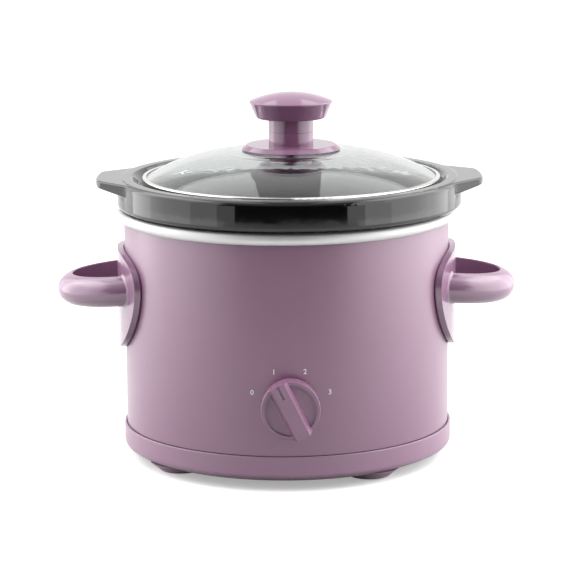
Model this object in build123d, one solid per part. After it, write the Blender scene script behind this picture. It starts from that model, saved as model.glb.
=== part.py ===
from build123d import *
import math
import os

# A small round slow cooker. Millimetres, with +Z up. The origin is on the floor, on the pot's axis.
# The dial faces -Y and the two handles stand out along +X and -X.

# Clearances
fit_gap = 0.15          # pieces that slip together and stay together
running_gap = 0.05      # a shaft, screw or bolt in its hole, on the radius
crock_play = 2.4        # the crock's wall inside the pot's wall
lid_play = 1.3          # the lid's rim inside the crock's ledge
lip_gap = 0.45          # the dark line between the casing and the base tray's lip
dial_gap = 0.7          # the back of the dial before the casing
sink = 0.2              # how far a rib, tag or boss reaches into what carries it
past = 1.0              # how far a cutting shape runs past what it cuts
near = 0.3              # a corner or edge this close to a place is the one meant

# Casing: a rolled steel tube with a lapped seam at the rear
shell_radius = 93.5
shell_wall = 0.7
seam_height = 19.5      # top of the base tray above the floor
shell_tuck = 5.0        # how far the tube stands down inside the tray's rim
lap_width = 9.0
lap_wall = 0.4
lap_inset = 3.0         # the lap stops this far from the tray and from the pot's bead
lap_turn = 22.0         # degrees from the rear, clear of the cord gland

# Heating pot: one drawn pot whose flange rolls out over the casing
pot_wall = 0.8
pot_mouth_gap = 6.0     # from the outside of the casing in to the pot's mouth
pot_draft = 5.5         # how much narrower the pot is at its floor
pot_floor_rise = 38.5   # the pot's floor over the top of the base tray
pot_depth = 86.5        # from the top of the flange down to the floor
pot_corner = 14.0
flange_corner = 2.0
bead_radius = 3.3
bead_overhang = 0.7     # the bead's centre beyond the outside of the casing
bead_turn = 170.0       # degrees that the bead rolls round

# Crock
crock_overhang = 5.5    # the crock's band beyond the outside of the casing
crock_seat_inset = 1.5  # outer edge of the seat, in from the outside of the casing
band_gap = 1.0          # the dark gap between the band and the pot's flange
band_height = 16.9
band_foot_round = 2.4
band_top_round = 3.2
crock_wall = 5.9
crock_floor_wall = 7.0
crock_under_gap = 2.0
crock_shift = 1.9       # the loose crock stands this far towards +X in its play, as photographed
cavity_corner = 12.0
ledge_width = 7.8
rim_slope = 3.5         # run of the slope from the ledge out to the top of the rim
ear_reach = 12.1        # the ear's tip beyond the band
ear_half_width = 19.0   # at the corners of the ear
ear_root_half_width = 36.0
ear_corner = 9.0
ear_root_flare = 20.0
ear_rise = 0.2          # the ear's top over the top of the rim
ear_tip_thickness = 3.8
ear_root_thickness = 6.2
ear_edge_round = 1.7
ear_bury = 0.6          # the ear's flared root stops this far under the band's skin
ear_hold = 12.0         # how far the ear runs in under the rim, behind its root
ear_dip = 0.3           # the ear's top under the rim's top where the two meet
rim_inner_round = 1.6
ledge_round = 0.8       # in the corner at the back of the ledge
ledge_edge_round = 1.8  # where the ledge turns down into the cavity

# Lid: a glass dome in a rolled steel rim
lid_glass_wall = 3.8
rim_steel = 0.5
rim_gap = 0.1
rim_cover = 2.4         # width of the rim that shows on top of the glass
lid_sink = 4.9          # depth of the crock's ledge under the top of its rim
lid_shift = 1.1         # the loose lid stands this far towards +X in its play, as photographed
dome_crown_radius = 400.0
dome_crown_reach = 38.0
dome_shoulder_radius = 112.0
rim_foot_round = 0.45
rim_top_round = 0.9
rim_lip_round = 0.15    # the thin edges of the steel
rim_bend_round = 0.3    # inside the bend at the top

# Lid knob: a flanged base under a mushroom top
base_flange_radius = 28.9
base_flange_top_radius = 25.6
base_flange_height = 2.7
base_collar_radius = 12.8
base_collar_height = 7.7
base_lift = 0.5         # the flange's edge over the glass
base_edge_round = 0.3
base_shoulder_round = 1.0
knob_stem_height = 7.6
knob_foot_radius = 19.8
knob_crease_radius = 23.9
knob_side_height = 9.6
knob_crown_height = 5.1
knob_foot_round = 1.6
knob_crease_round = 0.7
seal_radius = 8.0
seal_wall = 1.2
washer_radius = 9.0
washer_wall = 1.0
lid_screw_radius = 2.0
lid_screw_head_radius = 4.0
lid_screw_head_height = 2.4
lid_screw_head_round = 1.2
lid_screw_grip = 14.0   # how far the screw reaches into the knob's upper part

# Base tray
base_lip = 1.5          # the tray beyond the casing
tray_wall = 2.2
tray_underside = 4.5
base_bevel = 7.0
base_bevel_rise = 3.0
base_bevel_round = 3.0
base_lip_round = 0.4
foot_count = 4
foot_turn = 36.0        # the first foot, in degrees from +X
foot_circle_radius = 76.0
foot_root_radius = 17.5
foot_tip_radius = 11.5
foot_tip_round = 2.0
pad_radius = 6.0
pad_depth = 1.5
pad_proud = 0.5
boss_radius = 11.0
boss_height = 9.0
boss_recess_radius = 7.5
boss_roof = 2.0
rib_count = 8
rib_wall = 1.6
rib_height = 4.0

# Base bolt and its bracket
bolt_radius = 2.5
bolt_head_radius = 4.5
bolt_head_height = 3.0
bolt_washer_radius = 6.5
bolt_washer_wall = 1.0
bolt_past_nut = 2.0
bolt_slot_width = 1.2
bolt_slot_depth = 1.0
bracket_wall = 1.5
bracket_drop = 28.0
bracket_web_half = 12.0
bracket_leg_lean = 2.0
bracket_flange_reach = 10.0
bracket_width = 18.0
bracket_bend = 2.5
weld_nut_radius = 4.5
weld_nut_height = 4.0

# Handles: a plate and a loop in one moulding
handle_rise = 84.0      # the plate's widest level over the top of the base tray
plate_wall = 4.1
plate_half_width = 45.3
plate_above = 18.7      # from the widest level up to the top
plate_below = 40.0      # from the widest level down to the bottom
plate_shoulder_share = 0.80   # the top curve's pull, as shares of its height
plate_crown_share = 0.66      # and of its half width
plate_edge_round = 0.9
loop_reach = 25.4       # finger room between the plate and the loop's tip
loop_half_width = 26.5  # inside the loop, at its root
loop_root_bite = 0.718  # the outer corners of the loop's ends behind the plate's outer face
loop_wall = 9.5
loop_height = 17.6
loop_rise = -2.8        # the loop's root against the plate's widest level
loop_tilt = 5.0         # degrees that the loop droops towards its tip
loop_edge_round = 0.7
loop_root_round = 1.5   # where the loop runs into the plate
screw_angle = 17.5      # each handle screw, in degrees from the handle's middle
screw_radius = 1.9
screw_head_radius = 3.6
screw_head_height = 2.2
screw_grip = 10.5       # from the inside of the casing to the screw's point

# Heater belt and strap round the pot
belt_wall = 2.0
belt_foot_rise = 16.0   # over the pot's floor
belt_height = 38.0
strap_wall = 0.5
strap_inset = 4.0       # the strap's edges in from the belt's edges
strap_opening = 12.0    # degrees left open at the rear
tab_wall = 1.2
tab_height = 9.0
tab_reach = 3.4
strap_bolt_radius = 1.2
strap_bolt_head_radius = 1.7
strap_bolt_head_height = 1.6
strap_bolt_end = 1.0
strap_nut_height = 1.6

# Dial, switch and shaft
dial_rise = 28.3        # the dial's centre over the top of the base tray
dial_radius = 16.35
dial_depth = 8.8
dial_wall = 1.8
dial_ring_width = 2.0
dial_recess = 1.6
dial_edge_round = 0.5
dial_boss_radius = 5.2
bar_half_width = 3.9
bar_foot_half_width = 6.1
bar_rise = 5.0          # the bar's front over the dial's ring
bar_edge_round = 0.4
pointer_turn = 26.0     # degrees left of upright at rest
slot_width = 1.2
slot_length = 8.0
slot_depth = 0.9
shaft_radius = 3.0
shaft_flat = 0.8        # depth of the flat that drives the dial
shaft_engagement = 8.0  # the shaft's end over the back of the dial
shaft_end_gap = 0.5
shaft_seat_wall = 2.0   # the switch's rear wall, behind the shaft
bush_radius = 4.6
collar_radius = 7.0
switch_half_width = 13.0
switch_half_height = 8.8
switch_depth = 13.0
switch_round = 2.0
nut_flat_radius = 6.4   # half the width across the nut's flats
nut_height = 1.8
tag_width = 3.0
tag_wall = 0.8
tag_length = 5.0
tag_offset = 7.0
tag_rise = 4.5

# Cord gland in the rear wall
gland_rise = 13.0       # its centre over the top of the base tray
gland_bore_radius = 3.6
gland_neck_radius = 6.2
gland_flange_radius = 9.0
gland_flange_wall = 2.2
gland_clip_radius = 7.4
gland_clip_wall = 3.0
gland_clip_gap = 1.0    # the clip before the inside of the casing
gland_lead_in = 1.0

# Terminal block, thermal fuse and leads
block_length = 30.0
block_width = 14.0
block_height = 13.0
block_y = 48.0
block_round = 1.5
block_entry_radius = 1.6
block_entry_depth = 4.0
block_screw_radius = 2.4
block_screw_depth = 3.0
block_end_room = 1.0    # free floor at each end of the block
block_pitch = 9.0
fence_wall = 1.6
fence_height = 4.5
fuse_x = 34.0
fuse_y = 16.0
fuse_radius = 2.2
fuse_length = 14.0
fuse_clip_wall = 0.6
fuse_clip_width = 6.0
fuse_clip_wing = 5.0    # how far the clip lies on the pot's floor at each side
lead_radius = 1.1
lead_bend = 0.45        # share of the shorter run that a bend may take

# Places that follow from the sizes above
shell_bore = shell_radius - shell_wall
shell_foot = seam_height - shell_tuck
pot_floor = seam_height + pot_floor_rise
pot_underside = pot_floor - pot_wall
flange_top = pot_floor + pot_depth
flange_underside = flange_top - pot_wall
pot_mouth_radius = shell_radius - pot_mouth_gap
pot_floor_radius = pot_mouth_radius - pot_draft
bead_centre = shell_radius + bead_overhang
band_radius = shell_radius + crock_overhang
band_foot = flange_top + band_gap
crock_top = band_foot + band_height
crock_mouth_radius = pot_mouth_radius - crock_play
crock_floor_radius = pot_floor_radius - crock_play
crock_bottom = pot_floor + crock_under_gap
cavity_mouth_radius = crock_mouth_radius - crock_wall
cavity_floor_radius = crock_floor_radius - crock_wall
cavity_floor = crock_bottom + crock_floor_wall
ledge = crock_top - lid_sink
ledge_radius = cavity_mouth_radius + ledge_width
lid_radius = ledge_radius - lid_play
rim_height = lid_glass_wall + 2 * (rim_steel + rim_gap)
rim_top = ledge + rim_height
glass_radius = lid_radius - rim_steel - rim_gap
dome_start_radius = lid_radius - rim_cover - fit_gap
glass_edge_top = rim_top - rim_steel - rim_gap
base_radius = shell_radius + base_lip
tray_floor = tray_underside + tray_wall
tray_bore = base_radius - tray_wall
bolt_seat = tray_floor + boss_height - boss_roof
bracket_web = pot_underside - bracket_drop
block_entry_height = tray_floor + block_height / 2
fuse_height = pot_underside - fuse_radius
handle_height = seam_height + handle_rise
plate_outer = shell_radius + plate_wall
plate_inner = shell_radius + fit_gap
loop_corner = math.sqrt(plate_outer ** 2 - (loop_half_width + loop_wall) ** 2)
loop_root_inset = plate_outer - loop_corner + loop_root_bite
dial_height = seam_height + dial_rise
dial_back = shell_radius + dial_gap
dial_plane = Plane(origin=(0, -dial_back, dial_height), x_dir=(1, 0, 0), z_dir=(0, -1, 0))
switch_face = math.sqrt(shell_bore ** 2 - switch_half_width ** 2) - fit_gap
switch_back = switch_face - switch_depth
gland_height = seam_height + gland_rise

on_floor = (Align.CENTER, Align.CENTER, Align.MIN)    # a box or bar that stands on its own origin


def outline(*corners):
    """A closed face from corners given as (x, y, rounding radius)."""
    points = [(x, y) for x, y, rounding in corners]
    radii = [rounding for x, y, rounding in corners]
    return make_face(FilletPolyline(*points, radius=radii, close=True).edges())


def turned(section):
    """Turn a section, drawn as radius and height, about the pot's axis."""
    return revolve(Plane.XZ * section, Axis.Z)


def strip(edges, wall):
    """A strip of sheet metal to the right of an open path, as a face."""
    return make_face(Wire(edges).offset_2d(wall, side=Side.RIGHT).edges())


def rod(radius, start, direction, length):
    """A round bar from a point, along a direction."""
    place = Plane(origin=start, z_dir=direction)
    return place * Cylinder(radius, length, align=on_floor)


def ring(outer, inner, bottom, top):
    """A round tube standing about the pot's axis."""
    tube = Cylinder(outer, top - bottom, align=on_floor) - Cylinder(inner, top - bottom, align=on_floor)
    return Pos(0, 0, bottom) * tube


def around(radius, degrees, height):
    """A point at an angle about the pot's axis."""
    angle = math.radians(degrees)
    return (radius * math.cos(angle), radius * math.sin(angle), height)


def pot_skin(height):
    """Outside radius of the pot's tapered wall at a height."""
    share = (height - pot_floor) / pot_depth
    slant = math.hypot(pot_depth, pot_draft) / pot_depth
    return pot_floor_radius + share * pot_draft + pot_wall * slant


def dome_path():
    """The top of the glass, from its edge in to the axis, and the height of its crown."""
    crown_slope = math.asin(dome_crown_reach / dome_crown_radius)
    shoulder_centre = dome_crown_reach - dome_shoulder_radius * math.sin(crown_slope)
    edge_reach = dome_start_radius - shoulder_centre
    edge_slope = math.asin(edge_reach / dome_shoulder_radius)
    shoulder_low = glass_edge_top - dome_shoulder_radius * math.cos(edge_slope)
    meeting = shoulder_low + dome_shoulder_radius * math.cos(crown_slope)
    crown_low = meeting - dome_crown_radius * math.cos(crown_slope)
    degrees = [90 - math.degrees(edge_slope), 90 - math.degrees(crown_slope)]
    land = Line((glass_radius, glass_edge_top), (dome_start_radius, glass_edge_top))
    shoulder = CenterArc(
        (shoulder_centre, shoulder_low), dome_shoulder_radius, degrees[0], degrees[1] - degrees[0]
    )
    crown = CenterArc((0, crown_low), dome_crown_radius, degrees[1], 90 - degrees[1])
    return [land, shoulder, crown], crown_low + dome_crown_radius


glass_edges, glass_top = dome_path()
glass_under = glass_top - lid_glass_wall


def crown_drop(radius, reach):
    """How far a round crown falls from its middle to a reach."""
    return radius - math.sqrt(radius ** 2 - reach ** 2)


base_foot = glass_top - crown_drop(dome_crown_radius, base_flange_radius) + base_lift
base_top = base_foot + base_flange_height
knob_foot = base_top + base_collar_height
knob_disc_foot = knob_foot + knob_stem_height
knob_crease = knob_disc_foot + knob_side_height
knob_top = knob_crease + knob_crown_height
lower_seal_top = glass_under - crown_drop(dome_crown_radius - lid_glass_wall, seal_radius)


def handle_screw_axes():
    """Start and direction of each handle screw, from the inside of the casing outwards."""
    axes = []
    for side in (0, 180):
        for turn in (-screw_angle, screw_angle):
            start = around(shell_bore, side + turn, handle_height + loop_rise)
            direction = around(1, side + turn, 0)
            axes.append((start, direction))
    return axes


def make_outer_shell():
    shell = ring(shell_radius, shell_bore, shell_foot, flange_underside)
    lap_bottom = seam_height + lap_inset
    lap_top = flange_underside - 2 * bead_radius - lap_inset
    lap = ring(shell_radius + lap_wall, shell_radius, lap_bottom, lap_top)
    lap_box = Box(lap_width, 2 * shell_radius, lap_top, align=(Align.CENTER, Align.MIN, Align.MIN))
    lap = lap & (Rot(0, 0, lap_turn) * lap_box)
    gland_hole = rod(gland_neck_radius + fit_gap, (0, 0, gland_height), (0, 1, 0), 2 * shell_radius)
    shell = shell + lap - gland_hole
    shell -= rod(bush_radius + fit_gap, (0, 0, dial_height), (0, -1, 0), 2 * shell_radius)
    for start, direction in handle_screw_axes():
        shell -= rod(screw_radius + fit_gap, (0, 0, start[2]), direction, 2 * shell_radius)
    return shell


def make_heating_pot():
    wall_path = FilletPolyline(
        (0, pot_floor),
        (pot_floor_radius, pot_floor),
        (pot_mouth_radius, flange_top),
        (bead_centre, flange_top),
        radius=[pot_corner, flange_corner],
    )
    bead = CenterArc((bead_centre, flange_top - bead_radius), bead_radius, 90, -bead_turn)
    return turned(strip([*wall_path.edges(), *bead.edges()], pot_wall))


def make_foot_lobe(degrees):
    lobe = revolve(
        Plane.XZ
        * outline(
            (0, pad_proud, 0),
            (foot_tip_radius, pad_proud, foot_tip_round),
            (foot_root_radius, tray_underside + tray_wall / 2, 0),
            (0, tray_underside + tray_wall / 2, 0),
        ),
        Axis.Z,
    )
    return Pos(*around(foot_circle_radius, degrees, 0)) * lobe


def foot_degrees():
    return [foot_turn + 360 / foot_count * index for index in range(foot_count)]


def make_base_tray():
    lip_bore = shell_radius + lip_gap
    tray = turned(
        outline(
            (0, tray_underside, 0),
            (base_radius - base_bevel, tray_underside, base_bevel_round),
            (base_radius, tray_underside + base_bevel_rise, base_bevel_round),
            (base_radius, seam_height, base_lip_round),
            (lip_bore, seam_height, 0),
            (lip_bore, shell_foot, 0),
            (tray_bore, shell_foot, 0),
            (tray_bore, tray_floor + base_bevel_rise, base_bevel_round),
            (base_radius - base_bevel, tray_floor, base_bevel_round),
            (0, tray_floor, 0),
        )
    )
    rib_start = boss_radius - sink
    rib_length = foot_circle_radius - rib_start
    rib = Box(rib_length, rib_wall, rib_height + sink, align=(Align.MIN, Align.CENTER, Align.MIN))
    for index in range(rib_count):
        degrees = 360 / rib_count * (index + 0.5)
        tray += Rot(0, 0, degrees) * Pos(rib_start, 0, tray_floor - sink) * rib
    boss_top = tray_floor + boss_height
    tray += rod(boss_radius, (0, 0, tray_underside), (0, 0, 1), boss_top - tray_underside)
    tray -= rod(boss_recess_radius, (0, 0, tray_underside), (0, 0, 1), bolt_seat - tray_underside)
    tray -= rod(bolt_radius + fit_gap, (0, 0, tray_underside), (0, 0, 1), boss_top)
    for degrees in foot_degrees():
        tray += make_foot_lobe(degrees)
    for degrees in foot_degrees():
        seat = around(foot_circle_radius, degrees, 0)
        tray -= rod(pad_radius, seat, (0, 0, 1), pad_proud + pad_depth)
    fence_y = block_width / 2 + fit_gap + fence_wall / 2
    fence = Box(block_length, fence_wall, fence_height + sink, align=on_floor)
    for side in (-1, 1):
        tray += Pos(0, block_y + side * fence_y, tray_floor - sink) * fence
    room_length = block_length + 2 * block_end_room
    block_room = Box(room_length, block_width + 2 * fit_gap, fence_height, align=on_floor)
    return tray - Pos(0, block_y, tray_floor) * block_room


def make_foot_pads():
    pads = []
    for degrees in foot_degrees():
        seat = around(foot_circle_radius, degrees, 0)
        pads.append(rod(pad_radius - fit_gap, seat, (0, 0, 1), pad_proud + pad_depth))
    return pads


def make_plate():
    top = handle_height + plate_above
    upper = []
    for side in (-1, 1):
        wide = (side * plate_half_width, handle_height)
        shoulder = (side * plate_half_width, handle_height + plate_shoulder_share * plate_above)
        crown = (side * plate_crown_share * plate_half_width, top)
        upper.append(Bezier(wide, shoulder, crown, (0, top)))
    lower = EllipticalCenterArc((0, handle_height), plate_half_width, plate_below, 180, arc_size=180)
    face = make_face([*upper[0].edges(), *upper[1].edges(), *lower.edges()])
    block = extrude(Plane.YZ * face, 2 * plate_outer)
    plate = block & ring(plate_outer, plate_inner, 0, 2 * handle_height)
    rim = plate.faces().filter_by(GeomType.CYLINDER).sort_by(lambda face: face.area)[-1]
    return fillet(rim.edges(), plate_edge_round)


def make_loop():
    root_x = plate_outer - loop_root_inset
    tilt = math.radians(loop_tilt)
    level = Plane(
        origin=(root_x, 0, handle_height + loop_rise),
        x_dir=(math.cos(tilt), 0, -math.sin(tilt)),
        z_dir=(math.sin(tilt), 0, math.cos(tilt)),
    )
    path = level * EllipticalCenterArc(
        (0, 0), loop_reach + loop_root_inset, loop_half_width, -90, arc_size=180
    )
    half = loop_height / 2
    inner_side = Line((0, -half), (0, half))
    outer_side = EllipticalCenterArc((0, 0), loop_wall, half, -90, arc_size=180)
    section = make_face([*inner_side.edges(), *outer_side.edges()])
    section = fillet(section.vertices(), loop_edge_round)
    root = level.from_local_coords((0, -loop_half_width, 0))
    section_plane = Plane(origin=root, x_dir=(0, -1, 0), z_dir=level.x_dir * -1)
    return sweep(section_plane * section, path=path)


def at_loop_root(edge):
    """Whether an edge lies where the loop meets the outer face of the plate."""
    middle = edge @ 0.5
    at_level = abs(middle.Z - handle_height - loop_rise) < loop_height / 2 + near
    return at_level and abs(math.hypot(middle.X, middle.Y) - plate_outer) < near


def make_right_handle():
    loop = make_loop() - rod(plate_inner, (0, 0, 0), (0, 0, 1), 2 * handle_height)
    handle = make_plate() + loop
    handle = fillet(handle.edges().filter_by(at_loop_root), loop_root_round)
    for start, direction in handle_screw_axes()[:2]:
        handle -= rod(screw_radius + running_gap, start, direction, screw_grip + past)
    return handle


def make_handle_screws():
    screws = []
    for start, direction in handle_screw_axes():
        inward = [-value for value in direction]
        seat = [place + way * fit_gap for place, way in zip(start, inward)]
        shank = rod(screw_radius, seat, direction, screw_grip)
        head = rod(screw_head_radius, seat, inward, screw_head_height)
        screws.append(shank + head)
    return screws


def belt_section(inner_gap, wall, bottom, top):
    """A sloping band that follows the pot's wall."""
    low = pot_skin(bottom) + inner_gap
    high = pot_skin(top) + inner_gap
    return outline((low, bottom, 0), (low + wall, bottom, 0), (high + wall, top, 0), (high, top, 0))


belt_bottom = pot_floor + belt_foot_rise
belt_top = belt_bottom + belt_height
strap_bottom = belt_bottom + strap_inset
strap_top = belt_top - strap_inset
strap_middle = (strap_bottom + strap_top) / 2
strap_gap = fit_gap + belt_wall + fit_gap
strap_skin = pot_skin(strap_middle) + strap_gap + strap_wall
tab_x = strap_skin * math.sin(math.radians(strap_opening / 2))
strap_bolt_y = strap_skin + tab_reach / 2 + strap_wall


def make_heater_belt():
    return turned(belt_section(fit_gap, belt_wall, belt_bottom, belt_top))


def make_heater_strap():
    section = Plane.XZ * belt_section(strap_gap, strap_wall, strap_bottom, strap_top)
    start = 90 + strap_opening / 2
    strap = Rot(0, 0, start) * revolve(section, Axis.Z, revolution_arc=360 - strap_opening)
    tab_foot = (strap_skin - strap_wall / 2) * math.cos(math.radians(strap_opening / 2))
    tab_length = strap_bolt_y + tab_reach / 2 - tab_foot
    for side in (-1, 1):
        tab = Box(tab_wall, tab_length, tab_height, align=(Align.CENTER, Align.MIN, Align.CENTER))
        strap += Pos(side * (tab_x + tab_wall / 2), tab_foot, strap_middle) * tab
    start = (-2 * tab_x, strap_bolt_y, strap_middle)
    return strap - rod(strap_bolt_radius + running_gap, start, (1, 0, 0), 4 * tab_x)


def make_strap_bolt():
    seat = tab_x + tab_wall
    start = (-seat, strap_bolt_y, strap_middle)
    length = 2 * seat + strap_nut_height + strap_bolt_end
    bolt = rod(strap_bolt_radius, start, (1, 0, 0), length)
    return bolt + rod(strap_bolt_head_radius, start, (-1, 0, 0), strap_bolt_head_height)


def make_strap_nut():
    start = (tab_x + tab_wall, strap_bolt_y, strap_middle)
    place = Plane(origin=start, z_dir=(1, 0, 0))
    nut = place * extrude(RegularPolygon(strap_bolt_head_radius, 6), strap_nut_height)
    return nut - rod(strap_bolt_radius + running_gap, start, (1, 0, 0), strap_nut_height)


def make_pot_bracket():
    leg_x = bracket_web_half + bracket_leg_lean
    end_x = leg_x + bracket_flange_reach
    path = FilletPolyline(
        (-end_x, pot_underside),
        (-leg_x, pot_underside),
        (-bracket_web_half, bracket_web),
        (bracket_web_half, bracket_web),
        (leg_x, pot_underside),
        (end_x, pot_underside),
        radius=bracket_bend,
    )
    section = Plane.XZ * strip(path.edges(), bracket_wall)
    bracket = extrude(section, bracket_width / 2, both=True)
    bracket += rod(weld_nut_radius, (0, 0, bracket_web - sink), (0, 0, 1), weld_nut_height + sink)
    drop = (0, 0, bracket_web - 2 * bracket_wall)
    return bracket - rod(bolt_radius + running_gap, drop, (0, 0, 1), bracket_drop)


def make_base_bolt():
    head_top = bolt_seat - bolt_washer_wall
    length = bracket_web + weld_nut_height + bolt_past_nut - head_top
    bolt = rod(bolt_radius, (0, 0, head_top), (0, 0, 1), length)
    head = rod(bolt_head_radius, (0, 0, head_top), (0, 0, -1), bolt_head_height)
    slot = Box(2 * bolt_head_radius, bolt_slot_width, bolt_slot_depth, align=on_floor)
    return bolt + head - Pos(0, 0, head_top - bolt_head_height) * slot


def make_base_washer():
    low = bolt_seat - bolt_washer_wall
    return ring(bolt_washer_radius, bolt_radius + running_gap, low, bolt_seat)


def make_crock_body():
    slope_top = ledge_radius + rim_slope
    return turned(
        outline(
            (0, crock_bottom, 0),
            (crock_floor_radius, crock_bottom, pot_corner - crock_play),
            (crock_mouth_radius, flange_top, 0),
            (shell_radius - crock_seat_inset, flange_top, 0),
            (shell_radius - crock_seat_inset, band_foot, 0),
            (band_radius, band_foot, band_foot_round),
            (band_radius, crock_top, band_top_round),
            (slope_top, crock_top, rim_inner_round),
            (ledge_radius, ledge, ledge_round),
            (cavity_mouth_radius, ledge, ledge_edge_round),
            (cavity_floor_radius, cavity_floor, cavity_corner),
            (0, cavity_floor, 0),
        )
    )


def make_ear():
    """The ear at +X: its plan, cut to its side view, with flared roots and a rounded edge."""
    tip = band_radius + ear_reach
    throat = band_radius - ear_bury
    corner_x = math.sqrt(tip ** 2 - ear_half_width ** 2)
    root_x = math.sqrt(throat ** 2 - ear_root_half_width ** 2)
    hold_x = root_x - ear_hold
    flank = [(root_x, ear_root_half_width), (corner_x, ear_half_width), (tip + past, ear_half_width)]
    front = [(hold_x, -ear_root_half_width), *[(x, -y) for x, y in flank]]
    rear = [*reversed(flank), (hold_x, ear_root_half_width)]
    wing = Polygon(*front, *rear, align=None) & Circle(tip)
    corners = wing.vertices().filter_by(lambda point: point.X > corner_x - near)
    wing = fillet(corners, ear_corner)
    plan = Circle(throat) + wing
    roots = plan.vertices().filter_by(lambda point: abs(point.X - root_x) < near)
    plan = fillet(roots, ear_root_flare)
    plan &= Pos(hold_x, 0) * Rectangle(tip, 2 * tip, align=(Align.MIN, Align.CENTER))
    rim_x = ledge_radius + rim_slope + rim_inner_round
    top_slope = (ear_rise + ear_dip) / (tip - rim_x)
    under_slope = (ear_root_thickness + ear_rise - ear_tip_thickness) / ear_reach
    inner_x = hold_x - past
    outer_x = tip + past
    root_under = crock_top - ear_root_thickness
    rim_over = crock_top - ear_dip
    side = Polygon(
        (inner_x, root_under + (inner_x - band_radius) * under_slope),
        (outer_x, root_under + (outer_x - band_radius) * under_slope),
        (outer_x, rim_over + (outer_x - rim_x) * top_slope),
        (inner_x, rim_over + (inner_x - rim_x) * top_slope),
        align=None,
    )
    slab = extrude(Plane.XZ * side, tip, both=True)
    ear = slab & extrude(plan, 2 * crock_top)
    broad = ear.faces().sort_by(lambda face: abs(face.normal_at().Z))[-2:]
    rim = [edge for face in broad for edge in face.edges() if edge.center().X > hold_x + near]
    ear = fillet(rim, ear_edge_round)
    ear -= rod(band_radius, (0, 0, 0), (0, 0, 1), band_foot + band_foot_round)
    return ear - rod(rim_x, (0, 0, 0), (0, 0, 1), 2 * crock_top)


def make_crock():
    ear = make_ear()
    return make_crock_body() + ear + mirror(ear, Plane.YZ)


def in_crock(shape):
    """Move a piece from the pot's axis to where the crock stands."""
    return Pos(crock_shift, 0, 0) * shape


def in_lid(shape):
    """Move a piece from the pot's axis to where the lid lies on the crock."""
    return Pos(crock_shift + lid_shift, 0, 0) * shape


def make_lid_glass():
    edges = [edge for piece in glass_edges for edge in piece.edges()]
    inner = Wire(edges).offset_2d(lid_glass_wall, side=Side.LEFT)
    glass = turned(make_face(inner.edges()))
    low = glass_under - 2 * lid_glass_wall
    return glass - rod(lid_screw_radius + fit_gap, (0, 0, low), (0, 0, 1), 6 * lid_glass_wall)


def make_lid_rim():
    inner = lid_radius - rim_steel
    cover = lid_radius - rim_cover
    return turned(
        outline(
            (cover, ledge, 0),
            (lid_radius, ledge, rim_foot_round),
            (lid_radius, rim_top, rim_top_round),
            (cover, rim_top, rim_lip_round),
            (cover, rim_top - rim_steel, 0),
            (inner, rim_top - rim_steel, rim_bend_round),
            (inner, ledge + rim_steel, 0),
            (cover, ledge + rim_steel, 0),
        )
    )


def make_knob_base():
    base = turned(
        outline(
            (0, base_foot, 0),
            (base_flange_radius, base_foot, base_edge_round),
            (base_flange_top_radius, base_top, base_shoulder_round),
            (base_collar_radius, base_top, 0),
            (base_collar_radius, knob_foot, base_edge_round),
            (0, knob_foot, 0),
        )
    )
    dome = Pos(0, 0, glass_top + base_lift - dome_crown_radius) * Sphere(dome_crown_radius)
    base -= dome & rod(base_flange_radius + past, (0, 0, glass_under), (0, 0, 1), base_foot)
    base -= rod(seal_radius + fit_gap, (0, 0, 0), (0, 0, 1), glass_top + seal_wall)
    return base - rod(lid_screw_radius + fit_gap, (0, 0, glass_under), (0, 0, 1), knob_top)


def make_lid_knob():
    crown_radius = (knob_crease_radius ** 2 + knob_crown_height ** 2) / (2 * knob_crown_height)
    crease_turn = math.degrees(math.acos(knob_crease_radius / crown_radius))
    lines = [
        *Polyline(
            (0, knob_top),
            (0, knob_foot),
            (base_collar_radius, knob_foot),
            (base_collar_radius, knob_disc_foot),
            (knob_foot_radius, knob_disc_foot),
            (knob_crease_radius, knob_crease),
        ).edges(),
        *CenterArc((0, knob_top - crown_radius), crown_radius, crease_turn, 90 - crease_turn).edges(),
    ]
    section = make_face(lines)
    foot_corner = section.vertices().filter_by(lambda point: abs(point.X - knob_foot_radius) < near)
    section = fillet(foot_corner, knob_foot_round)
    crease_corner = section.vertices().filter_by(lambda point: abs(point.X - knob_crease_radius) < near)
    section = fillet(crease_corner, knob_crease_round)
    knob = turned(section)
    start = (0, 0, knob_foot)
    return knob - rod(lid_screw_radius + running_gap, start, (0, 0, 1), lid_screw_grip + past)


def make_upper_seal():
    return ring(seal_radius, lid_screw_radius + fit_gap, glass_top, glass_top + seal_wall)


def make_lower_seal():
    return ring(seal_radius, lid_screw_radius + fit_gap, lower_seal_top - seal_wall, lower_seal_top)


def make_lid_washer():
    top = lower_seal_top - seal_wall
    return ring(washer_radius, lid_screw_radius + fit_gap, top - washer_wall, top)


def make_lid_screw():
    seat = lower_seal_top - seal_wall - washer_wall
    length = knob_foot + lid_screw_grip - seat
    screw = rod(lid_screw_radius, (0, 0, seat), (0, 0, 1), length)
    head = rod(lid_screw_head_radius, (0, 0, seat), (0, 0, -1), lid_screw_head_height)
    head = fillet(head.edges().sort_by(Axis.Z)[:1], lid_screw_head_round)
    return screw + head


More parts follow.
